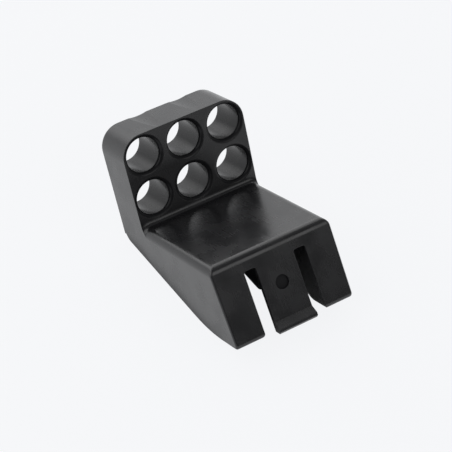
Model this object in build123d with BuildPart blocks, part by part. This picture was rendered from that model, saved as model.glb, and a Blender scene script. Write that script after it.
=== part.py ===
"""Inclined six-place rack for test tubes, one injection-moulded body.

A thick block with two rows of three bores leans back over a hollow base. The base has a flat seat in
front of the block, two side walls, a raked front wall with two slots, and a snap tongue between them.
The rack stands on the slanted lower edges of its walls, so its whole body is tilted by the lean.

Millimetres. X runs across the rack, the front faces -Y and Z points up from the surface it stands on.
Inside the body, drop means a distance down the block's front face from the upper row of bores, and
reach means a distance forward of that face.
"""
from build123d import *
from math import cos, radians, sin, tan
import os

# Bores: two rows of three on a square pitch, for 16 mm tubes
bore_dia = 17.0
pitch = 22.0
columns = 3
rows = 2
mouth_round = 2.0
rim_bevel = 0.9

# Block that holds the tubes, with shallow sink marks where its back edge is thick
block_depth = 23.0
block_margin = 10.8
sink_depth = 0.5
sink_radius = 24.0

# Base: its seat lies square to the block's front face
seat_drop = 12.6
seat_length = 64.6
seat_round = 4.2
junction_round = 2.6
front_rake = 15.1
front_edge_round = 1.2
side_draft = 0.9
lean = 20.5
back_drop = 46.6
back_round = 6.5
toe_flat = 27.11
toe_round = 68.0
toe_edge_round = 2.2

# Walls of the hollow base and the rib under its seat
wall = 2.2
cavity_round = 1.5
rib_thickness = 2.0
rib_lift = 6.8
rib_round = 5.0
rib_setback = 14.0

# Front wall: slots, cheek flanges behind their outer edges, and the tongue with its lip and dimple
tongue_width = 20.2
slot_width = 6.2
slot_drop = 7.2
slot_round = 1.0
panel_round = 2.4
flange_reach = 21.0
flange_round = 16.0
lip_reach = 3.0
lip_height = 4.8
lip_slope = 2.0
lip_face = 1.4
lip_bevel = 1.6
dimple_dia = 6.9
dimple_depth = 1.0
dimple_drop = 18.2

# Sizes worked out from those above
lower_row = pitch * (rows - 1)
half_top = pitch * (columns - 1) / 2 + block_margin
seat_level = lower_row + seat_drop
ceiling = seat_level + wall
overrun = 2 * wall
rake = tan(radians(front_rake))
base_slope = tan(radians(lean))
toe_run = block_depth + seat_length - rake * seat_level - toe_flat
toe_drop = (back_drop + base_slope * toe_run) / (1 - rake * base_slope)
toe_reach = (toe_drop - back_drop) / base_slope - block_depth
foot = toe_drop + overrun
rib_clear = rib_lift / cos(radians(lean))
rib_front = seat_length - rib_setback
wall_along = wall / cos(radians(front_rake))
slot_edge = tongue_width / 2 + slot_width
slot_top = seat_level + slot_drop
lip_top = toe_drop - lip_height
front_wall_height = toe_drop - seat_level
block_over = 2 * junction_round + seat_round
touch = 0.001
rest_height = block_depth * sin(radians(lean)) + back_drop * cos(radians(lean))


def half_width(drop):
    """Half the body's width, which its draft narrows towards the foot."""
    return half_top - tan(radians(side_draft)) * (drop + block_margin)


def front_at(drop):
    """Reach of the front wall's outside at a drop."""
    return seat_length + rake * (drop - seat_level)


def base_at(reach):
    """Drop of the slanted lower edge at a reach."""
    return back_drop + base_slope * (reach + block_depth)


# Frames: the block's front face, a side view with reach to the right, and the front wall at the dimple
forward = Vector(0, -cos(radians(lean)), sin(radians(lean)))
up_block = Vector(0, sin(radians(lean)), cos(radians(lean)))
centre = Vector(0, 0, rest_height)
face = Plane(origin=centre, x_dir=(1, 0, 0), z_dir=forward)
side = Plane(origin=centre, x_dir=forward, z_dir=(-1, 0, 0))
dimple_level = seat_level + dimple_drop
dimple_centre = centre + forward * front_at(dimple_level) - up_block * dimple_level
front_wall = Plane(origin=dimple_centre, x_dir=(1, 0, 0), z_dir=forward + up_block * rake)
bore_axis = Axis(centre, forward)


def reaches(edge):
    """Reach of the two ends of an edge."""
    return [(edge @ end - centre).dot(forward) for end in (0, 1)]


def drops(edge):
    """Drop of the two ends of an edge."""
    return [(centre - edge @ end).dot(up_block) for end in (0, 1)]


def is_upright(edge):
    """True for the long edges between the side walls and the front wall."""
    height = max(drops(edge)) - min(drops(edge))
    return min(reaches(edge)) > seat_length - wall and height > front_wall_height / 2


def is_junction(edge):
    """True for the edges where the base comes out of the block's front face, below its corners."""
    in_face = max(abs(reach) for reach in reaches(edge)) < touch
    inside = max(abs((edge @ end).X) for end in (0, 1)) < half_top
    return in_face and inside and min(drops(edge)) > seat_level - touch


# Hollow of the base: open below, less the two cheek flanges and the rib, which stay standing in it
with BuildPart() as hollow:
    with BuildSketch(face):
        with BuildLine():
            Polyline(
                (-half_width(ceiling) + wall, -ceiling),
                (half_width(ceiling) - wall, -ceiling),
                (half_width(foot) - wall, -foot),
                (-half_width(foot) + wall, -foot),
                close=True,
            )
        make_face()
    extrude(amount=front_at(foot), both=True)
    with BuildSketch(side):
        with BuildLine():
            Polyline(
                (wall - block_depth, -ceiling),
                (front_at(ceiling) - wall_along, -ceiling),
                (front_at(foot) - wall_along, -foot),
                (wall - block_depth, -foot),
                close=True,
            )
        make_face()
    extrude(amount=half_top, both=True, mode=Mode.INTERSECT)
    fillet(hollow.faces().sort_by(Axis(centre, up_block))[-1].edges(), radius=cavity_round)
    with BuildSketch(side.offset(slot_edge), side.offset(-slot_edge - wall)):
        with BuildLine():
            FilletPolyline(
                (front_at(toe_drop) - flange_reach, 0),
                (front_at(toe_drop), 0),
                (front_at(toe_drop), -toe_drop),
                (front_at(toe_drop) - flange_reach, -toe_drop),
                radius=(0, 0, 0, flange_round),
                close=True,
            )
        make_face()
    extrude(amount=wall, mode=Mode.SUBTRACT)
    with BuildSketch(side.offset(-rib_thickness / 2)):
        with BuildLine():
            FilletPolyline(
                (-block_depth, 0),
                (rib_front, 0),
                (rib_front, rib_clear - base_at(rib_front)),
                (-block_depth, rib_clear - base_at(-block_depth)),
                radius=(0, 0, rib_round, 0),
                close=True,
            )
        make_face()
    extrude(amount=rib_thickness, mode=Mode.SUBTRACT)

# Outer form: the base is a front view pulled forward and cut to its side view
with BuildPart() as rack_body:
    with BuildSketch(face):
        with BuildLine():
            Polyline(
                (-half_width(seat_level), -seat_level),
                (half_width(seat_level), -seat_level),
                (half_width(foot), -foot),
                (-half_width(foot), -foot),
                close=True,
            )
        make_face()
    extrude(amount=front_at(foot), both=True)
    with BuildSketch(side):
        with BuildLine():
            FilletPolyline(
                (-block_depth, -seat_level),
                (seat_length, -seat_level),
                (front_at(toe_drop), -toe_drop),
                (toe_reach, -toe_drop),
                (-block_depth, -back_drop),
                radius=(0, 0, toe_edge_round, toe_round, back_round),
                close=True,
            )
        make_face()
    extrude(amount=half_top, both=True, mode=Mode.INTERSECT)

    # The seat's front and side edges are rounded, then the upright edges at the front
    seat = rack_body.faces().sort_by(Axis(centre, up_block))[-1]
    fillet(seat.edges().sort_by(bore_axis)[1:], radius=seat_round)
    fillet(rack_body.edges().filter_by(GeomType.LINE).filter_by(is_upright), radius=front_edge_round)

    # The block starts too wide, so that the hollow where it meets the base runs out into its sides
    with BuildSketch(face):
        with Locations((0, block_margin)):
            Rectangle(
                2 * (half_top + block_over),
                block_margin + seat_level + block_over,
                align=(Align.CENTER, Align.MAX),
            )
    extrude(amount=-block_depth)
    fillet(rack_body.edges().filter_by(is_junction), radius=junction_round)
    with BuildSketch(face):
        with BuildLine():
            FilletPolyline(
                (-half_width(-block_margin), block_margin),
                (half_width(-block_margin), block_margin),
                (half_width(foot), -foot),
                (-half_width(foot), -foot),
                radius=(block_margin, block_margin, 0, 0),
                close=True,
            )
        make_face()
    extrude(amount=front_at(foot), both=True, mode=Mode.INTERSECT)

    # Bores go right through, with rounded mouths and a slight bevel at the back rims
    with Locations(face):
        with Locations((0, -lower_row / 2)):
            with GridLocations(pitch, pitch, columns, rows):
                Hole(radius=bore_dia / 2)
    bore_edges = rack_body.edges().filter_by(GeomType.CIRCLE)
    bore_edges = bore_edges.filter_by(lambda edge: abs(edge.radius - bore_dia / 2) < touch).group_by(bore_axis)
    fillet(bore_edges[-1], radius=mouth_round)
    chamfer(bore_edges[0], length=rim_bevel)

    # Sink marks over the solid plastic between the columns, deepest at the back edge
    sink_run = forward * block_depth + up_block * sink_depth
    for column in range(columns - 1):
        sink_x = pitch * (column + 0.5 - (columns - 1) / 2)
        sink_foot = centre + Vector(sink_x, 0, 0) - forward * block_depth
        sink_foot += up_block * (block_margin - sink_depth + sink_radius)
        with Locations(Plane(origin=sink_foot, x_dir=(1, 0, 0), z_dir=sink_run)):
            Cylinder(radius=sink_radius, height=2 * block_depth, mode=Mode.SUBTRACT)

    # The hollow leaves thin walls, two flanges and a rib
    add(hollow.part, mode=Mode.SUBTRACT)

    # Slots run down through the front wall and flare where the panels end in round corners
    with BuildSketch(face.offset(seat_length - overrun)):
        with BuildLine():
            FilletPolyline(
                (tongue_width / 2, -slot_top),
                (slot_edge, -slot_top),
                (slot_edge, -toe_drop),
                (slot_edge + 2 * panel_round, -toe_drop),
                (slot_edge + 2 * panel_round, -foot),
                (tongue_width / 2, -foot),
                radius=(slot_round, slot_round, panel_round, 0, 0, 0),
                close=True,
            )
        make_face()
        mirror(about=Plane.YZ)
    extrude(amount=front_at(foot), mode=Mode.SUBTRACT)

    # The lip at the tongue's foot: a sloping shelf, a short face and a bevel under it
    with BuildSketch(side):
        with BuildLine():
            Polyline(
                (front_at(lip_top) - wall_along, -lip_top),
                (front_at(lip_top), -lip_top),
                (front_at(lip_top + lip_slope) + lip_reach, -lip_top - lip_slope),
                (front_at(lip_top + lip_slope + lip_face) + lip_reach, -lip_top - lip_slope - lip_face),
                (front_at(toe_drop) + lip_reach - lip_bevel, -toe_drop),
                (front_at(toe_drop) - wall_along, -toe_drop),
                close=True,
            )
        make_face()
    extrude(amount=tongue_width / 2, both=True)

    # Finger dimple in the tongue
    with Locations(front_wall):
        Hole(radius=dimple_dia / 2, depth=dimple_depth)

# The origin is under the middle of the rack, on the surface it stands on
box = rack_body.part.bounding_box()
rack_body.part.position -= (box.center().X, box.center().Y, box.min.Z)
rack_body.part.label = "rack_body"
os.makedirs("parts", exist_ok=True)
export_step(rack_body.part, "parts/rack_body.step")

# Figures for the record
shift = Vector(box.center().X, box.center().Y, box.min.Z)
for row in range(rows):
    for column in range(columns):
        middle = centre - forward * (block_depth / 2) - up_block * (pitch * row) - shift
        print("bore", row + 1, column + 1, middle + Vector(pitch * (column - (columns - 1) / 2), 0, 0))
print("bores point along", forward)
print("size", rack_body.part.bounding_box().size, "volume cm3", rack_body.part.volume / 1000)
print("centre of mass", rack_body.part.center(CenterOf.MASS))
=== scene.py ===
# %% [markdown]
# # A test tube rack, moulded in one piece of black plastic
#
# The real rack is one injection moulding: a block with six bores leans back over a hollow base, and a
# springy tongue hangs between two slots at the front. Its solid comes from the CAD model, already at its
# real size, so this lesson gives it what CAD can't: the finish of moulded black ABS, a soft studio round
# it, and a camera that stands where the photographer stood. Everything is in metres.

# %% Load the CAD frame
from math import radians

import bpy
import numpy as np
from mathutils import Matrix, Vector


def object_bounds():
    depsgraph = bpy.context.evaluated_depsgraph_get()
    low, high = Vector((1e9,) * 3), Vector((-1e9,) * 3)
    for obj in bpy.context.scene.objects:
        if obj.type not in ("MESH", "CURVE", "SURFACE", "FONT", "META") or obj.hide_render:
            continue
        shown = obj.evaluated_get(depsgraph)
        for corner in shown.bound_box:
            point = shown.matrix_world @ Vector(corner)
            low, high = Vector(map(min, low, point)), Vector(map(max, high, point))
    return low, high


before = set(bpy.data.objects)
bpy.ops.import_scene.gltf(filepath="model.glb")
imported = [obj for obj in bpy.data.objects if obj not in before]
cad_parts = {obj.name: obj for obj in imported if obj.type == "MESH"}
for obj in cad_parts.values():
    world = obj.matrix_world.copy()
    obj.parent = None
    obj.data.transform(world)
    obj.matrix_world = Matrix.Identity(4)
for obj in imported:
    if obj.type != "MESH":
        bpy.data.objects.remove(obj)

MM = 0.001
cad_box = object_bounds()
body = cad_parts["rack_body"]
size_mm = [(high - low) / MM for low, high in zip(*cad_box)]
print("rack", [round(size, 1) for size in size_mm], "mm,", len(body.data.polygons), "triangles")


# %% [markdown]
# ## Colours and nodes
#
# Colours are written as sRGB hex, the way a paint chart or a picture editor gives them, and Blender's
# sockets want linear light, so one function does that change. Another adds a node, sets its values and
# makes its links, so that each material below reads as a short list of steps.

# %% Hex colour to linear
def linear(hex_colour):
    """sRGB hex to linear RGBA: c/12.92 below 0.04045, else ((c + 0.055) / 1.055) to the power 2.4."""
    code = hex_colour.lstrip("#")
    srgb = np.array([int(code[i:i + 2], 16) for i in (0, 2, 4)]) / 255
    light = np.where(srgb <= 0.04045, srgb / 12.92, ((srgb + 0.055) / 1.055) ** 2.4)
    return (*light.tolist(), 1.0)


PAPER = linear("#F7F8FA")
print("paper in linear light", [round(part, 3) for part in PAPER[:3]])


# %% Node helpers
SMOOTH = {"interpolation_type": "SMOOTHSTEP"}       # a Map Range that eases in and out


def empty_tree(owner):
    """The owner's node tree, with nothing in it."""
    owner.use_nodes = True
    owner.node_tree.nodes.clear()
    return owner.node_tree


def node(tree, kind, settings=None, **sockets):
    """Adds a node. Settings are its attributes, and each socket is named in words, with _ for a space, or
    by its number after an i. It gets a value, or a link from an output or a node's first output in use."""
    made = tree.nodes.new(kind)
    for name, value in (settings or {}).items():
        setattr(made, name, value)
    for name, value in sockets.items():
        key = int(name[1:]) if name[0] == "i" and name[1:].isdigit() else name.replace("_", " ")
        if isinstance(value, bpy.types.Node):
            value = next(output for output in value.outputs if output.enabled)
        if isinstance(value, bpy.types.NodeSocket):
            tree.links.new(value, made.inputs[key])
        else:
            made.inputs[key].default_value = value
    return made


# %% [markdown]
# ## The camera
#
# The photograph is a product shot with a long lens: the rack's parallel edges stay nearly parallel. The
# camera stands about 0.84 m away, to the rack's left front, and looks down on it at 43 degrees. It also
# leans over by a degree and a half, as a hand-held camera does. Azimuth 0 would look straight at the
# front wall.

# %% Place the camera
CAMERA_AZIMUTH = radians(-31.02)
CAMERA_ELEVATION = radians(43.1)
CAMERA_ROLL = radians(-1.54)
CAMERA_DISTANCE = 837.9 * MM
CAMERA_AIM = Vector((-1.83, -2.46, 26.74)) * MM
FIELD_OF_VIEW = radians(14.32)

away = Vector((
    np.sin(CAMERA_AZIMUTH) * np.cos(CAMERA_ELEVATION),
    -np.cos(CAMERA_AZIMUTH) * np.cos(CAMERA_ELEVATION),
    np.sin(CAMERA_ELEVATION),
))
lens = bpy.data.cameras.new("camera")
lens.sensor_fit = "HORIZONTAL"
lens.angle = FIELD_OF_VIEW
camera = bpy.data.objects.new("camera", lens)
bpy.context.scene.collection.objects.link(camera)
level = away.to_track_quat("Z", "Y")
camera.rotation_mode = "QUATERNION"
camera.rotation_quaternion = level @ Matrix.Rotation(CAMERA_ROLL, 3, "Z").to_quaternion()
camera.location = CAMERA_AIM + away * CAMERA_DISTANCE
bpy.context.scene.camera = camera
print("camera at", [round(v / MM) for v in camera.location], "mm")


# %% [markdown]
# ## The floor
#
# The rack was photographed on white. Black plastic has almost no colour of its own, so what the eye reads
# as its shade is a reflection: the side wall is grey because it mirrors the white table, and the front
# wall is nearly black because it faces the dark side of the room. The floor is therefore a real surface,
# which the rack stands on and shades. It reaches 3 m each way, far past what the camera sees, so that the
# side walls find it too.

# %% Floor
FLOOR_SIDE = 6.0

reach = FLOOR_SIDE / 2
corners = [(-reach, -reach, 0), (reach, -reach, 0), (reach, reach, 0), (-reach, reach, 0)]
floor_mesh = bpy.data.meshes.new("floor")
floor_mesh.from_pydata(corners, [], [(0, 1, 2, 3)])
floor = bpy.data.objects.new("floor", floor_mesh)
bpy.context.scene.collection.objects.link(floor)
print("floor", FLOOR_SIDE, "m square")


# %% [markdown]
# ## White paper
#
# The floor is matt white paper. Light Path lifts it to near white only for what the camera and the
# reflections see of it, so the light on the rack stays plain. Under the rack no light reaches the paper, so
# reflections get no lift there, and the slots and the hollow stay dark. That shade is measured in half
# widths and half lengths of the rack's box, where 1 is the edge of the box.

# %% Paper
PAPER_LIFT = 0.94
SHADE_START = 0.75      # the lift begins here, in half sizes of the rack's box
SHADE_END = 1.25        # and is full here

paper = bpy.data.materials.new("matt white paper")
paper_tree = empty_tree(paper)
ground = node(paper_tree, "ShaderNodeTexCoord").outputs["Object"]
in_half_sizes = node(paper_tree, "ShaderNodeVectorMath", {"operation": "DIVIDE"},
                     i0=ground, i1=(cad_box[1][0], cad_box[1][1], 1.0))
outward = node(paper_tree, "ShaderNodeVectorMath", {"operation": "ABSOLUTE"}, i0=in_half_sizes)
sides = node(paper_tree, "ShaderNodeSeparateXYZ", Vector=outward).outputs
farther = node(paper_tree, "ShaderNodeMath", {"operation": "MAXIMUM"}, i0=sides["X"], i1=sides["Y"])
beyond = node(paper_tree, "ShaderNodeMapRange", SMOOTH, Value=farther,
              From_Min=SHADE_START, From_Max=SHADE_END, To_Min=0.0, To_Max=1.0)
path = node(paper_tree, "ShaderNodeLightPath").outputs
mirrored = node(paper_tree, "ShaderNodeMath", {"operation": "MULTIPLY"}, i0=path["Is Glossy Ray"], i1=beyond)
seen = node(paper_tree, "ShaderNodeMath", {"operation": "MAXIMUM"}, i0=path["Is Camera Ray"], i1=mirrored)
lift = node(paper_tree, "ShaderNodeMath", {"operation": "MULTIPLY"}, i0=seen, i1=PAPER_LIFT)
matt = node(paper_tree, "ShaderNodeBsdfDiffuse", Color=PAPER)
glow = node(paper_tree, "ShaderNodeEmission", Color=PAPER)
lifted = node(paper_tree, "ShaderNodeMixShader", i0=lift, i1=matt, i2=glow)
node(paper_tree, "ShaderNodeOutputMaterial", Surface=lifted)
floor_mesh.materials.append(paper)
print(paper.name, "has", len(paper_tree.nodes), "nodes")


# %% [markdown]
# ## The room
#
# The camera sees plain white all round. Reflections see a room instead: a white wall low behind the rack,
# a dimmer ceiling above it, and a dark front, which is what makes the front wall and the block's face
# nearly black. The direction of a ray is a unit vector, so its Y says how far back it points and its Z
# how far up.

# %% World
WORLD_LIGHT = 0.30      # what lights the rack from all sides
BACK_WALL = 0.90        # what reflections see behind the rack
FRONT_ROOM = 0.20       # and in front of it
CEILING_SHARE = 0.45    # how much of that is left overhead
FRONT_END = -0.6        # Y of the direction where the dark front ends
BACK_START = 0.5        # and where the white wall starts
WALL_TOP = 0.2          # Z of the direction where the wall begins to dim
CEILING_START = 0.6     # and where it is as dim as the ceiling

world = bpy.data.worlds.new("studio")
bpy.context.scene.world = world
world_tree = empty_tree(world)
direction = node(world_tree, "ShaderNodeTexCoord").outputs["Generated"]
pointing = node(world_tree, "ShaderNodeSeparateXYZ", Vector=direction).outputs
room = node(world_tree, "ShaderNodeMapRange", SMOOTH, Value=pointing["Y"],
            From_Min=FRONT_END, From_Max=BACK_START, To_Min=FRONT_ROOM, To_Max=BACK_WALL)
height = node(world_tree, "ShaderNodeMapRange", SMOOTH, Value=pointing["Z"],
              From_Min=WALL_TOP, From_Max=CEILING_START, To_Min=1.0, To_Max=CEILING_SHARE)
walls = node(world_tree, "ShaderNodeMath", {"operation": "MULTIPLY"}, i0=room, i1=height)
path = node(world_tree, "ShaderNodeLightPath").outputs
reflected = node(world_tree, "ShaderNodeMix", {"data_type": "FLOAT"},
                 i0=path["Is Glossy Ray"], i2=WORLD_LIGHT, i3=walls)
strength = node(world_tree, "ShaderNodeMix", {"data_type": "FLOAT"},
                i0=path["Is Camera Ray"], i2=reflected, i3=1.0)
sky = node(world_tree, "ShaderNodeBackground", Color=PAPER, Strength=strength)
node(world_tree, "ShaderNodeOutputWorld", Surface=sky)
print(world.name, "world has", len(world_tree.nodes), "nodes")


# %% [markdown]
# ## Studio light
#
# Three softboxes, each an area lamp aimed at the middle of the rack. The largest hangs behind it, gives the
# block its pale top and shines through the bores on to the seat. The second lifts the left side wall. The
# third, smaller and weaker, hangs above the right front and opens the front wall and the seat.

# %% Softboxes
RACK_MIDDLE = Vector((0, 0, 30)) * MM


def softbox(name, place, width, height, power):
    """An area lamp at place, in metres, facing the middle of the rack."""
    lamp = bpy.data.lights.new(name, "AREA")
    lamp.shape = "RECTANGLE"
    lamp.size = width
    lamp.size_y = height
    lamp.energy = power
    box = bpy.data.objects.new(name, lamp)
    bpy.context.scene.collection.objects.link(box)
    box.location = place
    box.rotation_mode = "QUATERNION"
    box.rotation_quaternion = (Vector(place) - RACK_MIDDLE).to_track_quat("Z", "Y")
    print(name, "at", place, "m,", power, "W")


softbox("back_softbox", (0.25, 1.1, 0.85), 2.2, 1.3, 12)
softbox("left_softbox", (-1.1, 0.35, 0.9), 2.0, 1.4, 11)
softbox("front_softbox", (0.5, -1.2, 1.15), 1.2, 0.9, 5)


# %% [markdown]
# ## Moulded black ABS
#
# The rack is injection-moulded ABS, coloured in the mass with carbon black. Its mould looks spark-eroded to
# a fine grain, which gives a soft satin: highlights are broad, with a faint mottle where the melt cooled
# unevenly. Faint drawing lines run from front to back. Noise textures suit all three, because none of them
# repeats. The lines are noise that a Mapping node squeezes across the rack and stretches the other ways.

# %% Grain, mottle and drawing lines
GRAIN_SIZE = 0.35 * MM      # the real grain is 0.05 to 0.1 mm, drawn coarser so that it shows
MOTTLE_SIZE = 14 * MM
LINE_WIDTH = 0.9 * MM
LINE_LENGTH = 60 * MM

moulded_abs = bpy.data.materials.new("moulded black ABS")
abs_tree = empty_tree(moulded_abs)
place = node(abs_tree, "ShaderNodeTexCoord").outputs["Object"]
grain = node(abs_tree, "ShaderNodeTexNoise", Vector=place,
             Scale=1 / GRAIN_SIZE, Detail=3.0, Roughness=0.6)
mottle = node(abs_tree, "ShaderNodeTexNoise", Vector=place,
              Scale=1 / MOTTLE_SIZE, Detail=2.0, Roughness=0.5)
squeezed = node(abs_tree, "ShaderNodeMapping", Vector=place,
                Scale=(1 / LINE_WIDTH, 1 / LINE_LENGTH, 1 / LINE_LENGTH))
lines = node(abs_tree, "ShaderNodeTexNoise", Vector=squeezed, Scale=1.0, Detail=2.0, Roughness=0.6)
print("grain", round(GRAIN_SIZE / MM, 2), "mm, lines", round(LINE_WIDTH / MM, 2), "mm apart")


# %% [markdown]
# ## Colour and gloss
#
# The melt is one colour, so the mottle moves it only between two close blacks. It moves the gloss more: a
# Principled roughness of 0.2 to 0.3 is a satin plastic. The drawing lines take a small part in that.

# %% Colour and gloss
DARK_MELT = linear("#161617")
PALE_MELT = linear("#1D1D1F")
GLOSSIEST = 0.21
DULLEST = 0.31
LINE_SHARE = 0.2        # of the gloss, and the mottle has the rest
NOISE_LOW = 0.35        # noise keeps mostly between these two
NOISE_HIGH = 0.65

colour = node(abs_tree, "ShaderNodeMix", {"data_type": "RGBA"}, i0=mottle, i6=DARK_MELT, i7=PALE_MELT)
unevenness = node(abs_tree, "ShaderNodeMix", {"data_type": "FLOAT"}, i0=LINE_SHARE, i2=mottle, i3=lines)
roughness = node(abs_tree, "ShaderNodeMapRange", SMOOTH, Value=unevenness,
                 From_Min=NOISE_LOW, From_Max=NOISE_HIGH, To_Min=GLOSSIEST, To_Max=DULLEST)
print("roughness", GLOSSIEST, "to", DULLEST)


# %% [markdown]
# ## The block's own frame
#
# What follows the block has to lean back with it. A Mapping node of type Texture moves a pattern's zero to
# the mouth of the upper middle bore and turns it by the lean. After it, X goes across the rack, Y goes back
# along the bores, and Z goes up the block's face.

# %% Lean with the block
LEAN = radians(20.5)
FIRST_MOUTH = Vector((0, 36.24, 51.70)) * MM

leaning = node(abs_tree, "ShaderNodeMapping", {"vector_type": "TEXTURE"},
               Vector=place, Location=FIRST_MOUTH, Rotation=(-LEAN, 0, 0))
block = node(abs_tree, "ShaderNodeSeparateXYZ", Vector=leaning).outputs
print("upper middle mouth at", [round(v / MM, 2) for v in FIRST_MOUTH], "mm")


# %% [markdown]
# ## Relief
#
# Every moulded edge has a small radius that catches light, and the Bevel node draws it without touching the
# mesh. Two Bump nodes then add the grain and the lines, one on the other. The lines stay faint, except on
# top of the block, where the real rack shows them clearly.

# %% Relief
EDGE_ROUND = 0.35 * MM
RELIEF = 0.03 * MM          # height of the grain and of the lines
GRAIN_STRENGTH = 0.10
FAINT_LINES = 0.03
CLEAR_LINES = 0.35
TOP_LEVEL = 9.0 * MM        # the block's top, from the upper bores' axes up the face
EDGE_BLUR = 0.15 * MM       # how sharply one finish changes to the next

line_strength = node(abs_tree, "ShaderNodeMapRange", SMOOTH, Value=block["Z"], From_Min=TOP_LEVEL,
                     From_Max=TOP_LEVEL + EDGE_BLUR, To_Min=FAINT_LINES, To_Max=CLEAR_LINES)
rounded = node(abs_tree, "ShaderNodeBevel", {"samples": 6}, Radius=EDGE_ROUND)
grained = node(abs_tree, "ShaderNodeBump", Height=grain, Strength=GRAIN_STRENGTH, Distance=RELIEF,
               Normal=rounded)
relief = node(abs_tree, "ShaderNodeBump", Height=lines, Strength=line_strength, Distance=RELIEF,
              Normal=grained)
print("relief", round(RELIEF / MM, 2), "mm")


# %% [markdown]
# ## The dimple
#
# The dimple's floor is darker than the tongue round it: the shade of its hollow is painted there, by
# turning its reflection down. The distance from the middle of the floor is enough to find it. From here on
# a painted shade is a share of the seat's reflection, so 1 leaves a place as it is.

# %% The dimple's painted shade
DIMPLE_PAINTED_SHADE = 0.35
DIMPLE_FLOOR = Vector((0, -46.5, 26.0)) * MM
DIMPLE_RADIUS = 3.45 * MM

# painted shade: inside its radius the dimple keeps only a share of the seat's reflection
from_dimple = node(abs_tree, "ShaderNodeVectorMath", {"operation": "DISTANCE"}, i0=place, i1=DIMPLE_FLOOR)
dimple_painted_shade = node(abs_tree, "ShaderNodeMapRange", SMOOTH, Value=from_dimple,
                     From_Min=DIMPLE_RADIUS - EDGE_BLUR, From_Max=DIMPLE_RADIUS + EDGE_BLUR,
                     To_Min=DIMPLE_PAINTED_SHADE, To_Max=1.0)
print("dimple", DIMPLE_PAINTED_SHADE, "of the seat's polish")


# %% [markdown]
# ## The bores
#
# Core pins shape the bores. Shade is painted in them: their walls reflect less than the seat, and the
# rounded mouths less still, which draws a dark ring of painted shade round each. The bores repeat every 22
# mm across the block and up its face, so one distance, wrapped at half a pitch each way, finds the nearest
# axis of all six.

# %% Distance from the nearest bore's axis
PITCH = 22 * MM
HALF_PITCH = Vector((1, 1, 1)) * PITCH / 2

on_face = node(abs_tree, "ShaderNodeVectorMath", {"operation": "MULTIPLY"}, i0=leaning, i1=(1, 0, 1))
wrapped = node(abs_tree, "ShaderNodeVectorMath", {"operation": "WRAP"},
               i0=on_face, i1=HALF_PITCH, i2=-HALF_PITCH)
off_axis = node(abs_tree, "ShaderNodeVectorMath", {"operation": "LENGTH"}, i0=wrapped)
print("bores every", round(PITCH / MM), "mm")

# %% The bores' painted shade
BORE_PAINTED_SHADE = 0.57
MOUTH_PAINTED_SHADE = 0.30
BORE_RADIUS = 8.5 * MM
MOUTH_ROUND = 2.0 * MM
RING_WIDTH = 1.2 * MM       # the darkest part of the mouth, which fades out over the rest of its round

# painted shade: a dark ring on each rounded mouth, and a darker wall inside each bore
painted_mouth_ring = node(abs_tree, "ShaderNodeMapRange", SMOOTH, Value=off_axis, From_Min=BORE_RADIUS + RING_WIDTH,
            From_Max=BORE_RADIUS + MOUTH_ROUND, To_Min=MOUTH_PAINTED_SHADE, To_Max=1.0)
at_front = node(abs_tree, "ShaderNodeMath", {"operation": "LESS_THAN"}, i0=block["Y"], i1=MOUTH_ROUND)
round_bore = node(abs_tree, "ShaderNodeMix", {"data_type": "FLOAT"}, i0=at_front, i2=1.0, i3=painted_mouth_ring)
bore_painted_shade = node(abs_tree, "ShaderNodeMapRange", SMOOTH, Value=off_axis, From_Min=BORE_RADIUS,
                   From_Max=BORE_RADIUS + EDGE_BLUR, To_Min=BORE_PAINTED_SHADE, To_Max=round_bore)
print("bores", BORE_PAINTED_SHADE, "and mouths", MOUTH_PAINTED_SHADE, "of the seat's polish")


# %% [markdown]
# ## Painted shade, and the whole plastic
#
# Inside the block the bores' painted shade holds, and everywhere else the dimple's. An Ambient Occlusion
# node adds the last painted shade: in a corner the plastic mirrors mostly itself, so in corners and hollows,
# and on the seat near the block, the reflection is turned down. The Principled shader takes all of it as its
# Specular IOR Level, where 0.5 is the plain reflection of the plastic's index of refraction.

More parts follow.
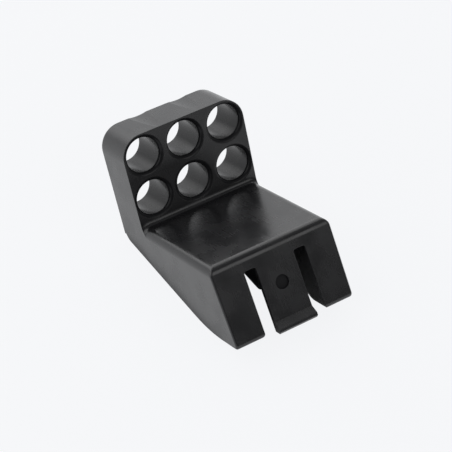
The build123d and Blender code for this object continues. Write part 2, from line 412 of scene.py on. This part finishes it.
# %% Choose the painted shade
BLOCK_FOOT = 1.5 * PITCH        # the seat, from the upper bores' axes down the face

above_seat = node(abs_tree, "ShaderNodeMath", {"operation": "GREATER_THAN"}, i0=block["Z"], i1=-BLOCK_FOOT)
behind_face = node(abs_tree, "ShaderNodeMath", {"operation": "GREATER_THAN"}, i0=block["Y"], i1=-EDGE_BLUR)
in_block = node(abs_tree, "ShaderNodeMath", {"operation": "MULTIPLY"}, i0=above_seat, i1=behind_face)
painted_shade = node(abs_tree, "ShaderNodeMix", {"data_type": "FLOAT"},
              i0=in_block, i2=dimple_painted_shade, i3=bore_painted_shade)
print("the bores' finish ends", round(BLOCK_FOOT / MM), "mm below the upper axes")

# %% The plastic
ABS_IOR = 1.53
SEAT_POLISH = 0.5
# reflection left where the corner shade is painted
PAINTED_CORNER_SHADE = 0.12
CORNER_SIZE = 9.0 * MM
CORNER_OPENNESS = 0.5       # a place this open or less is all corner
SEAT_OPENNESS = 0.95        # and one this open is none

# painted shade: Ambient Occlusion turns the reflection down in corners and hollows, where shade falls
openness = node(abs_tree, "ShaderNodeAmbientOcclusion", {"samples": 8}, Distance=CORNER_SIZE).outputs["AO"]
reflection_with_painted_corner_shade = node(abs_tree, "ShaderNodeMapRange", Value=openness, From_Min=CORNER_OPENNESS,
              From_Max=SEAT_OPENNESS, To_Min=PAINTED_CORNER_SHADE, To_Max=SEAT_POLISH)
reflection_with_all_painted_shade = node(abs_tree, "ShaderNodeMath", {"operation": "MULTIPLY"}, i0=reflection_with_painted_corner_shade, i1=painted_shade)
plastic = node(abs_tree, "ShaderNodeBsdfPrincipled", Base_Color=colour, Roughness=roughness,
               Normal=relief, IOR=ABS_IOR, Specular_IOR_Level=reflection_with_all_painted_shade)
node(abs_tree, "ShaderNodeOutputMaterial", Surface=plastic)
body.data.materials.clear()
body.data.materials.append(moulded_abs)
print(moulded_abs.name, "has", len(abs_tree.nodes), "nodes")


# %% [markdown]
# ## Finish
#
# The view transform is Standard, so a colour comes out as it is written.

# %% The view transform
bpy.context.scene.view_settings.view_transform = "Standard"
